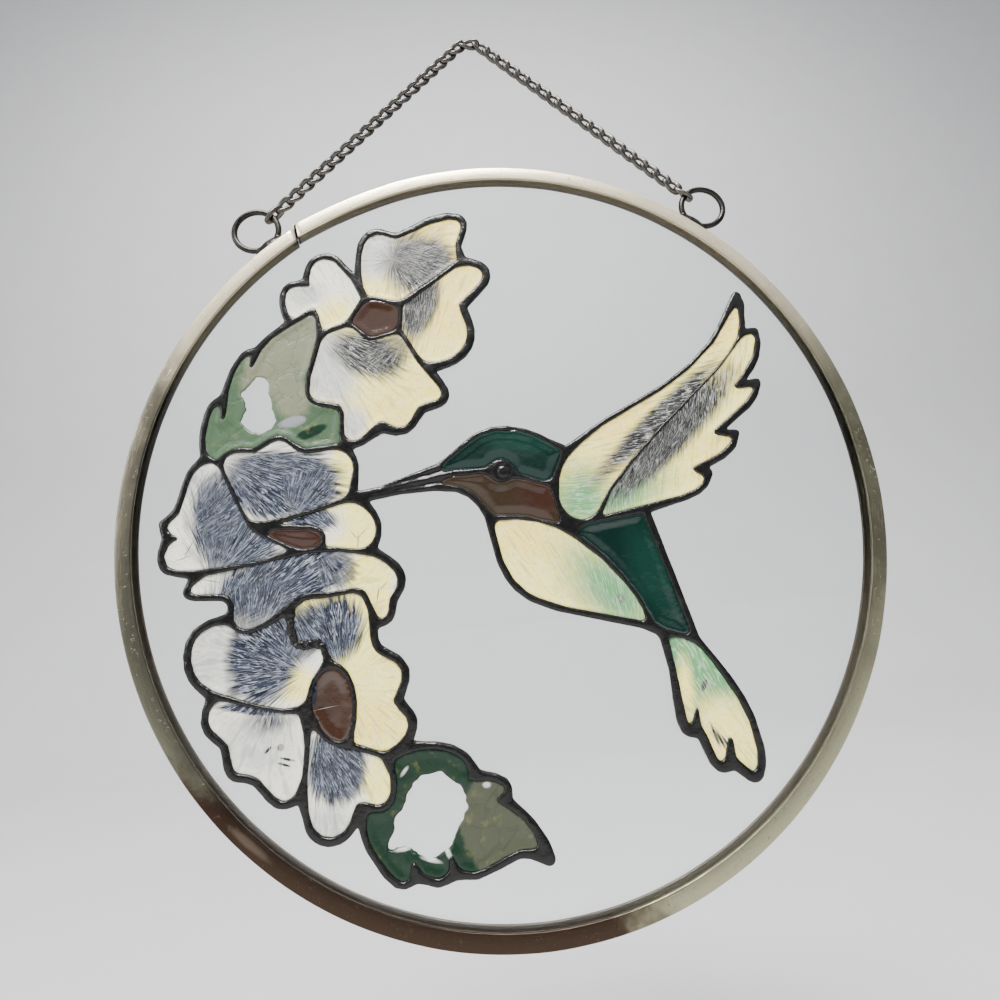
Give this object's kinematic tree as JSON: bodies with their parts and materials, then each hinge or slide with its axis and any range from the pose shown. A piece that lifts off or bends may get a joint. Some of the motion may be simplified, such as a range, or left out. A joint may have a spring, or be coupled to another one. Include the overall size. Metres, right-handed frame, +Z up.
{
  "type": "stained glass suncatcher",
  "caption": "Round painted-glass suncatcher in a metal channel frame, with a hovering hummingbird and blossoms in raised black lines, hung by a curb chain from wire loops.",
  "frame": {"origin": "the hanging point, where a hook meets the underside of the chain's middle link", "axes": "+Z up as it hangs, -Y out of the picture side towards the viewer, +Y towards the window, +X to the viewer's right"},
  "size_m": [0.1646, 0.005, 0.2076],
  "materials": {
    "champagne_metal": "satin champagne plating, finely pitted",
    "clear_glass": "polished clear float glass",
    "black_paste": "raised black outline paste, satin gloss",
    "pearl_paint": "cream glass paint with a pearl grain",
    "slate_paint": "thin pearl paint with slate streaks, see-through in the hand",
    "brown_paint": "thick glossy brown glass paint",
    "sage_paint": "sage and olive glass paint, flaked in one place",
    "deep_green_paint": "thick glossy dark green glass paint",
    "mint_paint": "mint and cream glass paint with charcoal streaks",
    "gunmetal_wire": "dark gunmetal plating"
  },
  "bodies": {
    "root": {"channel_frame": "champagne_metal", "glass_disc": "clear_glass", "leading": "black_paste", "bloom_top_left_petal": "pearl_paint", "bloom_top_upper_petal": "pearl_paint", "bloom_top_right_petal": "pearl_paint", "bloom_top_lower_petal": "pearl_paint", "bloom_top_centre": "brown_paint", "bloom_middle_upper_petal": "slate_paint", "bloom_middle_left_petal": "slate_paint", "bloom_middle_right_petal": "pearl_paint", "bloom_middle_lower_petal": "slate_paint", "bloom_middle_centre": "brown_paint", "bloom_lower_upper_petal": "slate_paint", "bloom_lower_right_petal": "pearl_paint", "bloom_lower_left_petal": "pearl_paint", "bloom_lower_bottom_petal": "slate_paint", "bloom_lower_centre": "brown_paint", "leaf_upper": "sage_paint", "leaf_lower": "deep_green_paint", "bird_crown": "deep_green_paint", "bird_throat": "brown_paint", "bird_belly": "pearl_paint", "bird_back": "deep_green_paint", "bird_tail": "mint_paint", "bird_wing_upper": "pearl_paint", "bird_wing_lower": "mint_paint", "loop_left": "gunmetal_wire", "loop_right": "gunmetal_wire", "chain": "gunmetal_wire"}
  },
  "joints": []
}
